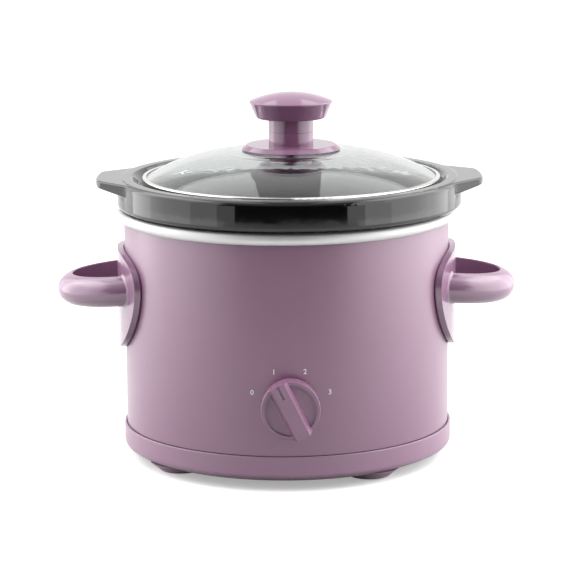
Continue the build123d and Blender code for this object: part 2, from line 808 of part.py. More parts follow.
def make_control_knob():
    hollow = dial_depth - dial_recess - dial_wall
    dial = rod(dial_radius, (0, 0, 0), (0, 0, 1), dial_depth)
    dial = fillet(dial.edges().sort_by(Axis.Z)[-1:], dial_edge_round)
    face_room = dial_depth - dial_recess
    dial -= rod(dial_radius - dial_ring_width, (0, 0, face_room), (0, 0, 1), dial_recess)
    dial -= rod(dial_radius - dial_wall, (0, 0, 0), (0, 0, 1), hollow)
    bar_section = outline(
        (-bar_foot_half_width, face_room - sink, 0),
        (bar_foot_half_width, face_room - sink, 0),
        (bar_half_width, dial_depth + bar_rise, bar_edge_round),
        (-bar_half_width, dial_depth + bar_rise, bar_edge_round),
    )
    bar = extrude(Plane.XZ * bar_section, dial_radius + past, both=True)
    bar &= rod(dial_radius, (0, 0, 0), (0, 0, 1), 2 * dial_depth)
    dial += bar
    dial += rod(dial_boss_radius, (0, 0, 0), (0, 0, 1), face_room)
    slot = Box(slot_width, slot_length + past, slot_depth, align=(Align.CENTER, Align.MAX, Align.MAX))
    dial -= Pos(0, dial_radius + past, dial_depth + bar_rise) * slot
    nut_corner_radius = nut_flat_radius / math.cos(math.radians(30))
    dial -= rod(nut_corner_radius + fit_gap, (0, 0, 0), (0, 0, 1), nut_height + fit_gap)
    dial -= extrude(shaft_profile(running_gap), shaft_engagement + shaft_end_gap)
    return dial_plane * (Rot(0, 0, pointer_turn) * dial)


def shaft_profile(grow):
    """Round shaft with one flat, in the dial's own plane."""
    radius = shaft_radius + grow
    flat = shaft_radius - shaft_flat + grow
    keep = Pos(0, flat - 2 * radius) * Rectangle(4 * radius, 4 * radius)
    return Circle(radius) & keep


def make_switch_shaft():
    tail = dial_back - switch_back - shaft_seat_wall
    shaft = rod(shaft_radius, (0, 0, 0), (0, 0, -1), tail) + extrude(shaft_profile(0), shaft_engagement)
    return dial_plane * (Rot(0, 0, pointer_turn) * shaft)


def switch_collar_face():
    return math.sqrt(shell_bore ** 2 - collar_radius ** 2) - running_gap


def make_rotary_switch():
    behind = (Align.CENTER, Align.MIN, Align.CENTER)
    body = Box(2 * switch_half_width, switch_depth, 2 * switch_half_height, align=behind)
    body = fillet(body.edges().filter_by(Axis.Y), switch_round)
    switch = Pos(0, -switch_face, dial_height) * body
    front = (0, sink - switch_face, dial_height)
    switch += rod(collar_radius, front, (0, -1, 0), switch_collar_face() - switch_face + sink)
    bush_end = dial_back + nut_height
    switch += rod(bush_radius, front, (0, -1, 0), bush_end - switch_face + sink)
    tag = Box(tag_wall, tag_length, tag_width, align=behind)
    for side in (-1, 1):
        for level in (-1, 1):
            switch += Pos(side * tag_offset, -switch_back - sink, dial_height + level * tag_rise) * tag
    shaft_seat = (0, running_gap - shaft_seat_wall - switch_back, dial_height)
    return switch - rod(shaft_radius + running_gap, shaft_seat, (0, -1, 0), bush_end)


def make_switch_nut():
    start = (0, -shell_radius, dial_height)
    place = Plane(origin=start, x_dir=(1, 0, 0), z_dir=(0, -1, 0))
    nut = place * extrude(RegularPolygon(nut_flat_radius, 6, major_radius=False), nut_height)
    return nut - rod(bush_radius + running_gap, start, (0, -1, 0), nut_height)


def make_cord_gland():
    inner_end = shell_bore - gland_clip_gap - gland_clip_wall
    outer_end = shell_radius + gland_flange_wall
    gland = rod(gland_neck_radius, (0, inner_end, gland_height), (0, 1, 0), outer_end - inner_end)
    flange = rod(gland_flange_radius, (0, shell_radius, gland_height), (0, 1, 0), gland_flange_wall)
    flange = fillet(flange.edges().sort_by(Axis.Y)[-1:], gland_lead_in)
    gland += flange
    gland += rod(gland_clip_radius, (0, inner_end, gland_height), (0, 1, 0), gland_clip_wall)
    return gland - rod(gland_bore_radius, (0, inner_end, gland_height), (0, 1, 0), outer_end)


def make_terminal_block():
    block = Box(block_length, block_width, block_height, align=on_floor)
    block = fillet(block.edges().filter_by(Axis.Z), block_round)
    block = Pos(0, block_y, tray_floor) * block
    for index in (-1, 0, 1):
        x = index * block_pitch
        top = tray_floor + block_height
        block -= rod(block_screw_radius, (x, block_y, top), (0, 0, -1), block_screw_depth)
        for side in (-1, 1):
            mouth = (x, block_y + side * block_width / 2, block_entry_height)
            block -= rod(block_entry_radius, mouth, (0, -side, 0), block_entry_depth)
    return block


def make_thermal_fuse():
    start = (fuse_x, fuse_y - fuse_length / 2, fuse_height)
    return rod(fuse_radius, start, (0, 1, 0), fuse_length)


def make_fuse_clip():
    """A strip that hangs from the pot's floor and cradles the fuse."""
    hanging = (Align.CENTER, Align.MAX)
    hug = fuse_radius + fit_gap
    cradle_half = hug + fuse_clip_wall
    cradle = Rectangle(2 * cradle_half, fuse_radius + cradle_half, align=hanging)
    cradle = fillet(cradle.vertices().sort_by(Axis.Y)[:2], hug)
    wings = Rectangle(2 * (hug + fuse_clip_wing), fuse_clip_wall, align=hanging)
    room = Pos(0, -fuse_radius) * Circle(hug) + Rectangle(2 * hug, fuse_radius, align=hanging)
    section = cradle + wings - room
    clip = extrude(Plane.XZ * section, fuse_clip_width / 2, both=True)
    return Pos(fuse_x, fuse_y, pot_underside) * clip


def lead(*points):
    """An insulated wire: straight runs joined by arcs as large as the runs allow."""
    corners = [Vector(*point) for point in points]
    radii = []
    for before, here, after in zip(corners, corners[1:], corners[2:]):
        into = here - before
        out = after - here
        turn = math.radians(into.get_angle(out))
        radii.append(lead_bend * min(into.length, out.length) / math.tan(turn / 2))
    path = FilletPolyline(*points, radius=radii)
    start = Plane(origin=path @ 0, z_dir=path % 0)
    return sweep(start * Circle(lead_radius), path=path)


def belt_foot(degrees):
    """The middle of the belt's lower edge, where a lead joins it."""
    return around(pot_skin(belt_bottom) + fit_gap + belt_wall / 2, degrees, belt_bottom)


def make_leads():
    tag_y = -switch_back + tag_length - sink
    high = dial_height + tag_rise
    low = dial_height - tag_rise
    block_front = block_y - block_width / 2
    entry = block_entry_height
    low_x, low_y, joint_z = belt_foot(-60)
    high_x, high_y, joint_z = belt_foot(-44)
    back_x, back_y, joint_z = belt_foot(42)
    fuse_start = fuse_y - fuse_length / 2
    fuse_end = fuse_y + fuse_length / 2
    return {
        "supply_lead": lead(
            (-tag_offset, tag_y, low),
            (-tag_offset, tag_y + 9, low),
            (-20, -44, 33),
            (-27, -20, 24),
            (-25, 6, 17),
            (-15, block_front - 16, entry + 1),
            (-block_pitch, block_front - 7, entry),
            (-block_pitch, block_front + 2, entry),
        ),
        "low_lead": lead(
            (tag_offset, tag_y, low),
            (tag_offset, tag_y + 7, low),
            (20, -61, low - 1),
            (35, -68, low + 6),
            (low_x - 1, low_y + 1, joint_z - 15),
            (low_x, low_y, joint_z - 8),
            (low_x, low_y, joint_z),
        ),
        "high_lead": lead(
            (tag_offset, tag_y, high),
            (tag_offset, tag_y + 8, high),
            (24, -56, high - 4),
            (46, -58, high - 3),
            (high_x - 1, high_y + 0.5, joint_z - 16),
            (high_x, high_y, joint_z - 8),
            (high_x, high_y, joint_z),
        ),
        "fuse_lead": lead(
            (0, block_front + 2, entry),
            (0, block_front - 8, entry),
            (12, 22, 18),
            (26, 4, 30),
            (fuse_x - 1, fuse_start - 17, fuse_height - 12),
            (fuse_x, fuse_start - 10, fuse_height),
            (fuse_x, fuse_start, fuse_height),
        ),
        "return_lead": lead(
            (fuse_x, fuse_end, fuse_height),
            (fuse_x, fuse_end + 9, fuse_height),
            (44, 44, fuse_height - 5),
            (57, 53, fuse_height - 3),
            (back_x - 0.5, back_y, joint_z - 10),
            (back_x, back_y, joint_z - 4),
            (back_x, back_y, joint_z),
        ),
    }


def make_parts():
    parts = {
        "outer_shell": make_outer_shell(),
        "heating_pot": make_heating_pot(),
        "base_tray": make_base_tray(),
        "foot_pads": make_foot_pads(),
        "right_handle": make_right_handle(),
        "left_handle": mirror(make_right_handle(), Plane.YZ),
        "handle_screws": make_handle_screws(),
        "heater_belt": make_heater_belt(),
        "heater_strap": make_heater_strap(),
        "strap_bolt": make_strap_bolt(),
        "strap_nut": make_strap_nut(),
        "pot_bracket": make_pot_bracket(),
        "base_bolt": make_base_bolt(),
        "base_washer": make_base_washer(),
        "rotary_switch": make_rotary_switch(),
        "switch_nut": make_switch_nut(),
        "cord_gland": make_cord_gland(),
        "terminal_block": make_terminal_block(),
        "thermal_fuse": make_thermal_fuse(),
        "fuse_clip": make_fuse_clip(),
        "control_knob": make_control_knob(),
        "switch_shaft": make_switch_shaft(),
        "crock": in_crock(make_crock()),
        "lid_glass": in_lid(make_lid_glass()),
        "lid_rim": in_lid(make_lid_rim()),
        "knob_base": in_lid(make_knob_base()),
        "lid_knob": in_lid(make_lid_knob()),
        "upper_seal": in_lid(make_upper_seal()),
        "lower_seal": in_lid(make_lower_seal()),
        "lid_washer": in_lid(make_lid_washer()),
        "lid_screw": in_lid(make_lid_screw()),
    }
    parts.update(make_leads())
    return parts


os.makedirs("parts", exist_ok=True)
for name, shape in make_parts().items():
    if isinstance(shape, list):
        shape = Compound(children=shape)
    export_step(shape, f"parts/{name}.step")
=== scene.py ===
# %% [markdown]
# # A small round slow cooker
# The object is a countertop slow cooker: a painted steel casing on a moulded base, a metal heating
# pot with a rolled flange, a black stoneware crock with two ears, and a domed glass lid with a knob.
# A CAD model already holds every piece at its real size. This lesson dresses that model: it reads
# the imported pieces, gives each one the finish of its real material, adds the printed marks that a
# CAD model has no use for, and lights the whole as a product photograph.

# %% Load the frame
import math

import bpy
from mathutils import Matrix, Vector


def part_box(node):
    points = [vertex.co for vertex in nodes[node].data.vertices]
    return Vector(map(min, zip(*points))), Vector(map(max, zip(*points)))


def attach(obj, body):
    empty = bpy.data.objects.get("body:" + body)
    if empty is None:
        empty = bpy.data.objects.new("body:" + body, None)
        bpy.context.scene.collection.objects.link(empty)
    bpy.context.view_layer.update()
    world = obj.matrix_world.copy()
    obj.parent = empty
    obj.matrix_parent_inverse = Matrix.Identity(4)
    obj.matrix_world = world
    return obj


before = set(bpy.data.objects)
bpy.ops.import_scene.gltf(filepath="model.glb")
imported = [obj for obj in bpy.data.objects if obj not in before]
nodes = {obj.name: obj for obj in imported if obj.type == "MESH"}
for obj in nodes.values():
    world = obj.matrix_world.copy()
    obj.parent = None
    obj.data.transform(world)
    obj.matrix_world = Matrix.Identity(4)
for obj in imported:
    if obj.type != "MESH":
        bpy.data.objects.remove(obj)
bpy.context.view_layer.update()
scene = bpy.context.scene

# %% [markdown]
# ## Working in millimetres
# Blender works in metres, and a kitchen appliance is easier to think of in millimetres. One value
# turns one into the other, for sizes of shapes and for the spacing of patterns alike. The other
# way, to scale the whole scene, would change the CAD pieces, which have to stay as they are.

# %% Millimetres
MM = 0.001

# %% [markdown]
# ## The camera
# The photograph was taken with a long lens, a metre and a half in front of the cooker and a little
# above its lid, looking down by about eleven degrees. A long lens keeps the casing's sides upright.
# Its place could be found by trial, but a circle seen from above shows how high the camera is, so
# it was worked out from the cooker's own circles. The photograph's small lean is kept.

# %% Camera
CAMERA_PLACE = Vector((-0.0260, -1.5115, 0.3932))
CAMERA_PITCH = math.radians(78.91)
CAMERA_TURN = math.radians(-0.981)
CAMERA_ROLL = -0.0065   # radians
CAMERA_LENS = 166.93    # mm, as is the width of the sensor
SENSOR_WIDTH = 36.0

camera_data = bpy.data.cameras.new("photo_camera")
camera_data.lens = CAMERA_LENS
camera_data.sensor_width = SENSOR_WIDTH
camera_data.dof.use_dof = False
camera = bpy.data.objects.new("photo_camera", camera_data)
camera.matrix_world = (
    Matrix.Translation(CAMERA_PLACE)
    @ Matrix.Rotation(CAMERA_TURN, 4, "Z")
    @ Matrix.Rotation(CAMERA_PITCH, 4, "X")
    @ Matrix.Rotation(CAMERA_ROLL, 4, "Z")
)
scene.collection.objects.link(camera)
scene.camera = camera
scene.view_settings.view_transform = "Standard"
print("camera at", [round(value, 3) for value in CAMERA_PLACE])

# %% [markdown]
# ## Colours
# Colours are picked on a screen, so they are written as screen hex values, and one function
# turns them to the linear values that light is worked out with. The alternative, typing linear
# values by hand, gives numbers that nobody can picture.

# %% Colours
def linear(code):
    """The linear colour, with full alpha, of a screen colour such as #a08040, by the sRGB curve."""
    channels = [int(code[start:start + 2], 16) / 255 for start in (1, 3, 5)]
    return (*[c / 12.92 if c <= 0.04045 else ((c + 0.055) / 1.055) ** 2.4 for c in channels], 1.0)


print("linear value of mid grey:", round(linear("#808080")[0], 3))

# %% [markdown]
# ## Nodes
# A material is a small network of nodes. One function adds a node with its settings and links, so
# that each material below reads as a list of what it is made of. Another starts a material with its
# one shader. Constants go straight on the shader's own sockets, where an export finds them. Nodes
# can also be joined by hand in the shader editor, but written down they can be read and compared.

# %% Node helpers
def add_node(tree, kind, inputs, **settings):
    """Adds a node. Its inputs are values or other nodes' outputs, by name or by number."""
    node = tree.nodes.new(kind)
    for name, value in settings.items():
        setattr(node, name, value)
    for key, value in inputs.items():
        if isinstance(value, bpy.types.NodeSocket):
            tree.links.new(value, node.inputs[key])
        else:
            node.inputs[key].default_value = value
    return node


def new_material(name, **sockets):
    """A material with one shader, whose constants go straight on the shader's own sockets."""
    material = bpy.data.materials.new(name)
    material.use_nodes = True
    tree = material.node_tree
    shader = tree.nodes["Principled BSDF"]
    for socket, value in sockets.items():
        shader.inputs[socket.replace("_", " ")].default_value = value
    return material, tree, shader


def coordinates(tree):
    """The piece's own X, Y and Z as outputs, in metres from the pot's axis on the floor."""
    place = add_node(tree, "ShaderNodeTexCoord", {})
    return add_node(tree, "ShaderNodeSeparateXYZ", {"Vector": place.outputs["Object"]}).outputs


def per_metre(spacing_mm):
    """The scale of a pattern whose features lie this many millimetres apart."""
    return 1 / (spacing_mm * MM)


MIX_FACTOR, MIX_A, MIX_B, MIX_COLOUR = 0, 6, 7, 2    # a Mix node's colour sockets, by number
print("scale of a pattern with features 2 mm apart:", round(per_metre(2)))

# %% [markdown]
# ## Sprayed and moulded surfaces
# A sprayed or moulded surface looks plain from afar, but three things vary over it: its colour, by
# a very little, its gloss, and its height, as orange peel in paint or spark erosion texture in a
# mould. Scanned pictures could carry these, but a soft noise at the right spacing does it without
# any file, so one function makes all three.
#
# Each spacing starts from the real one. Orange peel is about a millimetre and a half from crest to
# crest, and is drawn so. Spark erosion, plating, rolling and polishing leave marks of a tenth of a
# millimetre or less, while a pixel of the picture covers more than half a millimetre of the cooker.
# Such marks are drawn several times coarser, 0.4 to 1.2 millimetres apart, so that they show.

# %% A surface that varies
CLOUD_DETAIL = 3.0      # how many finer octaves the slow change of tint and gloss has
GRAIN_DETAIL = 2.0      # and the fine relief


def vary(tree, shader, colours, roughness, cloud_mm, relief_mm, relief_spacing_mm, place=None):
    """Colour and roughness wander between two values, and the surface has a fine relief."""
    if place is None:
        place = add_node(tree, "ShaderNodeTexCoord", {}).outputs["Object"]
    cloud = add_node(
        tree, "ShaderNodeTexNoise",
        {"Vector": place, "Scale": per_metre(cloud_mm), "Detail": CLOUD_DETAIL},
    )
    tint = add_node(
        tree, "ShaderNodeMix",
        {MIX_FACTOR: cloud.outputs["Fac"], MIX_A: linear(colours[0]), MIX_B: linear(colours[1])},
        data_type="RGBA",
    )
    gloss = add_node(
        tree, "ShaderNodeMapRange",
        {"Value": cloud.outputs["Fac"], "To Min": roughness[0], "To Max": roughness[1]},
    )
    grain = add_node(
        tree, "ShaderNodeTexNoise",
        {"Vector": place, "Scale": per_metre(relief_spacing_mm), "Detail": GRAIN_DETAIL},
    )
    bump = add_node(
        tree, "ShaderNodeBump",
        {"Height": grain.outputs["Fac"], "Distance": relief_mm * MM, "Strength": 1.0},
    )
    tree.links.new(tint.outputs[MIX_COLOUR], shader.inputs["Base Color"])
    tree.links.new(gloss.outputs["Result"], shader.inputs["Roughness"])
    tree.links.new(bump.outputs["Normal"], shader.inputs["Normal"])
    return tint.outputs[MIX_COLOUR]


print("octaves of the slow noise and of the relief:", CLOUD_DETAIL, GRAIN_DETAIL)

# %% [markdown]
# ## Dressing the CAD pieces
# The CAD pieces arrive with a plain finish of their own. Dressing one means to clear that and to
# append the new material. Faces could be painted one by one, but each piece is of one material.
# The piece itself stays as it is, in shape and in place.

# %% Dress a piece
def dress(material, *names):
    """Gives CAD pieces their finish."""
    for name in names:
        nodes[name].data.materials.clear()
        nodes[name].data.materials.append(material)
    print(material.name, "on", ", ".join(names))


print("pieces to dress:", len(nodes))

# %% [markdown]
# ## Powder-coated steel
# The casing is steel sheet, sprayed with a dusty purple powder and baked. The powder melts into a
# satin film with a faint orange peel, a ripple of a few hundredths of a millimetre. The satin gloss
# turns the lights at the sides into broad pale bands along the flanks. A clear coat over a colour
# would be another way, but here resin and pigment are one layer, so the shader's own mirror part is
# raised instead, and a little sheen lifts the flanks where the film is seen edge on.
#
# The casing stands down inside the rim of the base tray, and a thin dark line shows where the two
# meet. Just above the tray the colour turns dark as painted shade, because the joint is too fine to
# shade itself.

# %% Powder-coated steel
JOINT_SHADE_HEIGHT = 0.45 * MM
seam_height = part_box("base_tray")[1].z
powder_coat, tree, shader = new_material(
    "powder_coated_steel_satin", IOR=1.5, Specular_IOR_Level=1.0, Sheen_Weight=0.25,
    Sheen_Roughness=0.45,
)
paint_tint = vary(
    tree, shader, colours=("#845a77", "#885e7b"), roughness=(0.28, 0.34), cloud_mm=14,
    relief_mm=0.02, relief_spacing_mm=1.6,
)
# painted shade: for the last fraction of a millimetre above the tray the casing is coloured dark
# purple, standing in for the shadow in the joint
above_joint_shade = add_node(
    tree, "ShaderNodeMath", {0: coordinates(tree)["Z"], 1: seam_height + JOINT_SHADE_HEIGHT},
    operation="GREATER_THAN",
)
paint_with_joint_shade = add_node(
    tree, "ShaderNodeMix",
    {MIX_FACTOR: above_joint_shade.outputs["Value"], MIX_A: linear("#2e1927"), MIX_B: paint_tint},
    data_type="RGBA",
)
tree.links.new(paint_with_joint_shade.outputs[MIX_COLOUR], shader.inputs["Base Color"])
dress(powder_coat, "outer_shell")

# %% [markdown]
# ## Moulded polypropylene
# The base tray is moulded in a purple matched to the paint. Its mould was lightly textured by spark
# erosion, so the tray is a little duller than the casing. It is made as the paint is, with a finer
# and lower relief in place of the orange peel. Less light reaches it down by the table, so its base
# colour is a step lighter than the paint's.

# %% Moulded polypropylene
tray_plastic, tree, shader = new_material(
    "moulded_polypropylene_satin", IOR=1.49, Specular_IOR_Level=0.9, Sheen_Weight=0.2,
)
vary(
    tree, shader, colours=("#916a86", "#956e8a"), roughness=(0.30, 0.38), cloud_mm=10,
    relief_mm=0.015, relief_spacing_mm=0.9,
)
dress(tray_plastic, "base_tray")

# %% [markdown]
# ## Moulded ABS handles
# The handles are moulded in ABS from polished moulds. They are glossier than the casing, and show
# soft highlights along the round edge of each loop. A low roughness gives the gloss. The relief is
# only the faint flow of the plastic in its mould, so it is wide and very shallow.

# %% Moulded ABS handles
handle_plastic, tree, shader = new_material("moulded_abs_gloss", IOR=1.54, Specular_IOR_Level=0.9)
vary(
    tree, shader, colours=("#8b6782", "#8f6b86"), roughness=(0.16, 0.22), cloud_mm=9,
    relief_mm=0.004, relief_spacing_mm=2.5,
)
dress(handle_plastic, "left_handle", "right_handle")

# %% [markdown]
# ## Moulded ABS dial
# The dial is moulded in the same plastic. Its mould has a finer and slightly deeper texture, which
# breaks up its reflections, so that the dial looks satin. Its flat fields face the dim front of the
# studio, while its rim and the side of its bar catch the lights as thin bright edges. The base
# colour is a step lighter than the handles', to make up for the light that the fields miss.

# %% Moulded ABS dial
dial_plastic, tree, shader = new_material("moulded_abs_satin", IOR=1.54)
vary(
    tree, shader, colours=("#976f8c", "#9c7491"), roughness=(0.10, 0.14), cloud_mm=6,
    relief_mm=0.008, relief_spacing_mm=1.2,
)
dress(dial_plastic, "control_knob")

# %% [markdown]
# ## Moulded nylon knob
# The lid knob stands over hot glass, so it is moulded in nylon, which bears more heat than ABS. It is
# the glossiest of the purple pieces: its stem mirrors the side lights as two upright bands, with the
# dark front of the studio between them. So its roughness is the lowest and its base colour the
# darkest.

# %% Moulded nylon knob
knob_plastic, tree, shader = new_material("moulded_nylon_gloss", IOR=1.53, Specular_IOR_Level=0.6)
vary(
    tree, shader, colours=("#7c5572", "#815a77"), roughness=(0.07, 0.10), cloud_mm=8,
    relief_mm=0.01, relief_spacing_mm=4.0,
)
dress(knob_plastic, "lid_knob", "knob_base")

# %% [markdown]
# ## Spun aluminium
# The heating pot is drawn from aluminium sheet and its flange is rolled on a lathe, which leaves
# fine rings round the pot's axis. The rings are a noise that changes along the radius and the height
# and not at all round the axis. An anisotropic shader would stretch the highlights as well, but the
# flange is nearly matt, so the rings alone are enough. They are about a quarter of a millimetre apart
# on the real pot, and are drawn twice as coarse here so that they show.

# %% Spun aluminium
def turned_place(tree):
    """Coordinates of a lathe-turned surface: radius and height, the same all round the axis."""
    parts = coordinates(tree)
    flat = add_node(tree, "ShaderNodeCombineXYZ", {"X": parts["X"], "Y": parts["Y"]})
    radius = add_node(tree, "ShaderNodeVectorMath", {0: flat.outputs["Vector"]}, operation="LENGTH")
    turned = add_node(
        tree, "ShaderNodeCombineXYZ", {"X": radius.outputs["Value"], "Z": parts["Z"]}
    )
    return turned.outputs["Vector"]


spun_aluminium, tree, shader = new_material("spun_aluminium_satin", Metallic=1.0)
vary(
    tree, shader, colours=("#bebebe", "#c6c6c5"), roughness=(0.60, 0.68), cloud_mm=0.9,
    relief_mm=0.012, relief_spacing_mm=0.5, place=turned_place(tree),
)
dress(spun_aluminium, "heating_pot")

# %% [markdown]
# ## Black glazed stoneware
# The crock is cast in stoneware and dipped in a black glaze, which fires to a glassy skin. The
# glaze pools and thins, so its surface waves gently over a centimetre or so, and reflections bend
# a little in it. The foot stands in the kiln and stays bare, a warm grey. A second material for the
# foot would need faces of its own, so the height alone changes the colour there.

# %% Black glazed stoneware
BARE_FOOT = 1.2 * MM
crock_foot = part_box("crock")[0].z
glazed_stoneware, tree, shader = new_material("black_glazed_stoneware", IOR=1.52)
glaze_tint = vary(
    tree, shader, colours=("#070708", "#0d0c0d"), roughness=(0.03, 0.05), cloud_mm=16,
    relief_mm=0.018, relief_spacing_mm=12,
)
bare = add_node(
    tree, "ShaderNodeMapRange",
    {"Value": coordinates(tree)["Z"], "From Min": crock_foot + BARE_FOOT,
     "From Max": crock_foot + 2 * BARE_FOOT, "To Min": 1.0, "To Max": 0.0},
)
fired = add_node(
    tree, "ShaderNodeMix",
    {MIX_FACTOR: bare.outputs["Result"], MIX_A: glaze_tint, MIX_B: linear("#8b7f73")},
    data_type="RGBA",
)
tree.links.new(fired.outputs[MIX_COLOUR], shader.inputs["Base Color"])
dress(glazed_stoneware, "crock")

# %% [markdown]
# ## Tempered glass
# The lid is a dome of clear soda-lime glass, nearly four millimetres thick and tempered. It is
# modelled at its real thickness, so the shader bends light by the glass's index as real glass does,
# where a thin sheet would need a trick. The glass has a trace of green, and tempering leaves faint
# waves in it, a couple of centimetres apart.

# %% Tempered glass
lid_glass, tree, shader = new_material("clear_tempered_glass", IOR=1.52, Transmission_Weight=1.0)
vary(
    tree, shader, colours=("#f4f9f6", "#f8fbfa"), roughness=(0.0, 0.01), cloud_mm=25,
    relief_mm=0.006, relief_spacing_mm=18,
)
dress(lid_glass, "lid_glass")

# %% [markdown]
# ## Polished stainless steel
# A rolled rim of stainless steel protects the edge of the glass. It is polished, so it shows as a
# bright line with a dark one beside it. The polishing runs round the rim, so its fine marks use the
# same turned coordinates as the pot's rings. They are drawn about ten times coarser than real ones.

# %% Polished stainless steel
rim_steel, tree, shader = new_material("polished_stainless_steel", Metallic=1.0)
vary(
    tree, shader, colours=("#bebdb9", "#c8c7c3"), roughness=(0.14, 0.22), cloud_mm=1.2,
    relief_mm=0.004, relief_spacing_mm=0.4, place=turned_place(tree),
)
dress(rim_steel, "lid_rim")

# %% [markdown]
# ## Zinc-plated steel
# Screws, bolts, washers and nuts are turned from steel and plated with zinc. Plating gives a cool
# grey that clouds in patches of a few millimetres, and the noise makes those patches in the tint and
# in the gloss at once.

# %% Zinc-plated steel
zinc_plate, tree, shader = new_material("zinc_plated_steel", Metallic=1.0)
vary(
    tree, shader, colours=("#a9adb2", "#bcbfc2"), roughness=(0.28, 0.42), cloud_mm=2.5,
    relief_mm=0.005, relief_spacing_mm=0.6,
)
dress(
    zinc_plate, "handle_screws", "strap_bolt", "strap_nut", "base_bolt", "base_washer",
    "switch_nut", "switch_shaft", "lid_washer", "lid_screw",
)

# %% [markdown]
# ## Rolled steel strip
# The strap, the bracket and the fuse's clip are bent from bare rolled strip. Rolled steel is darker
# and duller than plate, with broader patches where the oil of the press has dried. Marks along the
# strip would need a direction for each bend, so plain patches do here.

# %% Rolled steel strip
rolled_steel, tree, shader = new_material("rolled_steel_strip", Metallic=1.0)
vary(
    tree, shader, colours=("#8f9092", "#a3a4a4"), roughness=(0.32, 0.5), cloud_mm=5,
    relief_mm=0.006, relief_spacing_mm=0.8,
)
dress(rolled_steel, "heater_strap", "pot_bracket", "fuse_clip")

# %% [markdown]
# ## Drawn brass tube
# The thermal fuse is a short brass tube, drawn through a die and left unplated. It is the only warm
# metal inside the cooker. It is too small to show the marks of the die, so its colour and a soft
# cloud are enough.

# %% Drawn brass tube
fuse_brass, tree, shader = new_material("drawn_brass_tube", Metallic=1.0)
vary(
    tree, shader, colours=("#b79a5b", "#c7ab6c"), roughness=(0.25, 0.38), cloud_mm=3,
    relief_mm=0.004, relief_spacing_mm=0.7,
)
dress(fuse_brass, "thermal_fuse")

# %% [markdown]
# ## Woven glass fibre
# The heater belt is a resistance wire inside a woven glass-fibre sleeve, off-white and matt. The
# weave is two sets of waves that cross, one along the height and one round the pot, with threads
# a millimetre and a half apart. Modelled threads would be thousands of small tubes, for a belt that
# nobody sees until the cooker is taken apart.

# %% Woven glass fibre
THREAD_MM = 1.5
WEAVE_DEPTH = 0.3 * MM
WAVES_PER_SCALE = 20 / (2 * math.pi)    # a wave texture at scale 1 has this many waves per unit
belt_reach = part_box("heater_belt")[1].x
glass_fibre, tree, shader = new_material("woven_glass_fibre", IOR=1.5, Roughness=0.85, Sheen_Weight=0.3)
parts = coordinates(tree)
turn = add_node(tree, "ShaderNodeMath", {0: parts["Y"], 1: parts["X"]}, operation="ARCTAN2")
along = add_node(
    tree, "ShaderNodeMath", {0: turn.outputs["Value"], 1: belt_reach}, operation="MULTIPLY"
)
weave_place = add_node(
    tree, "ShaderNodeCombineXYZ", {"X": along.outputs["Value"], "Y": parts["Z"]}
)
warp, weft = [
    add_node(
        tree, "ShaderNodeTexWave",
        {"Vector": weave_place.outputs["Vector"], "Scale": per_metre(THREAD_MM) / WAVES_PER_SCALE},
        bands_direction=direction,
    )
    for direction in ("X", "Y")
]
thread = add_node(
    tree, "ShaderNodeMath", {0: warp.outputs["Fac"], 1: weft.outputs["Fac"]}, operation="MULTIPLY"
)
tint = add_node(
    tree, "ShaderNodeMix",
    {MIX_FACTOR: thread.outputs["Value"], MIX_A: linear("#b9b2a2"), MIX_B: linear("#e6e1d4")},
    data_type="RGBA",
)
bump = add_node(
    tree, "ShaderNodeBump", {"Height": thread.outputs["Value"], "Distance": WEAVE_DEPTH}
)
tree.links.new(tint.outputs[MIX_COLOUR], shader.inputs["Base Color"])
tree.links.new(bump.outputs["Normal"], shader.inputs["Normal"])
dress(glass_fibre, "heater_belt")

# %% [markdown]
# ## Moulded rubber
# The four feet stand on black rubber plugs. Rubber has hardly any gloss, so its roughness is high,
# and a deep fine relief takes the last shine away.

# %% Moulded rubber
foot_rubber, tree, shader = new_material("moulded_rubber_black", IOR=1.52)
vary(
    tree, shader, colours=("#191919", "#222121"), roughness=(0.7, 0.8), cloud_mm=3,
    relief_mm=0.03, relief_spacing_mm=0.5,
)
dress(foot_rubber, "foot_pads")

# %% [markdown]
# ## Translucent silicone
# A seal above and one below the glass keep the knob's metal off it. They are cut from unfilled
# silicone, which lets some light in and out again, so the shader scatters a part under its surface.

# %% Translucent silicone
seal_silicone, tree, shader = new_material("translucent_silicone", IOR=1.41, Subsurface_Weight=0.3)
vary(
    tree, shader, colours=("#d8d6cf", "#e2e0da"), roughness=(0.4, 0.5), cloud_mm=4,
    relief_mm=0.01, relief_spacing_mm=1.0,
)
dress(seal_silicone, "upper_seal", "lower_seal")

# %% [markdown]
# ## Silicone lead sleeves
# The leads run close to the hot pot, so they wear sleeves of filled silicone, which is sand-coloured
# and opaque. The relief is deep for its spacing, because a braid shows through the sleeve. A woven
# pattern could draw that braid, but on a sleeve two millimetres thick noise looks the same.

# %% Silicone lead sleeves
lead_sleeve, tree, shader = new_material("silicone_lead_sleeve", IOR=1.41)
vary(
    tree, shader, colours=("#c9bfae", "#d6cdbd"), roughness=(0.45, 0.6), cloud_mm=3,
    relief_mm=0.05, relief_spacing_mm=0.7,
)
dress(lead_sleeve, "supply_lead", "low_lead", "high_lead", "fuse_lead", "return_lead")

# %% [markdown]
# ## Glazed steatite
# The terminal block is pressed in steatite, a dense off-white ceramic that bears the heat, and has a
# thin clear glaze. The glaze gives it an even, moderate gloss. The shader could add the glaze as a
# coat of its own, but over so pale a body that makes no difference to the eye.

# %% Glazed steatite
block_ceramic, tree, shader = new_material("glazed_steatite_ceramic", IOR=1.55)
vary(
    tree, shader, colours=("#e2ddd2", "#ebe7de"), roughness=(0.25, 0.35), cloud_mm=5,
    relief_mm=0.01, relief_spacing_mm=1.5,
)
dress(block_ceramic, "terminal_block")

# %% [markdown]
# ## Black moulded nylon
# The switch and the cord gland are moulded in black nylon, which comes out of the mould with a dull
# satin surface. Its base colour is a dark grey, because pure black would swallow the edges.

